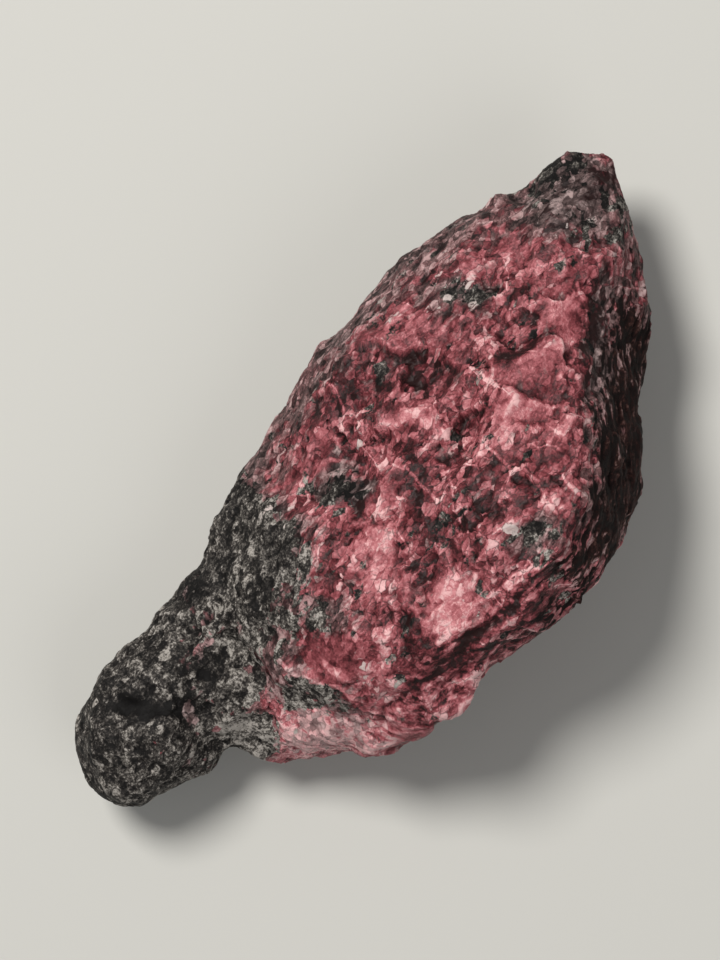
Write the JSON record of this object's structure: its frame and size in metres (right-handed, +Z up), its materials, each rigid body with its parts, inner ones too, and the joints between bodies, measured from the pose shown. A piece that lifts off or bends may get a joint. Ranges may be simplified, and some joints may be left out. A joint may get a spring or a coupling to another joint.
{
  "type": "rough rhodonite stone",
  "caption": "Raw rhodonite: a loose pink stone with flat cleavage plates and a black manganese-oxide nub, lying on a flat cleavage face.",
  "frame": {"origin": "on the surface that the stone rests on, under the middle of its box", "axes": "+X along the length from the black nub to the tip, +Y towards the low left margin, +Z up from the resting face"},
  "size_m": [0.0502, 0.0224, 0.018],
  "materials": {
    "rhodonite": "rough broken mineral, raspberry pink with black oxide"
  },
  "bodies": {
    "root": {"rhodonite_stone": "rhodonite"}
  },
  "joints": []
}
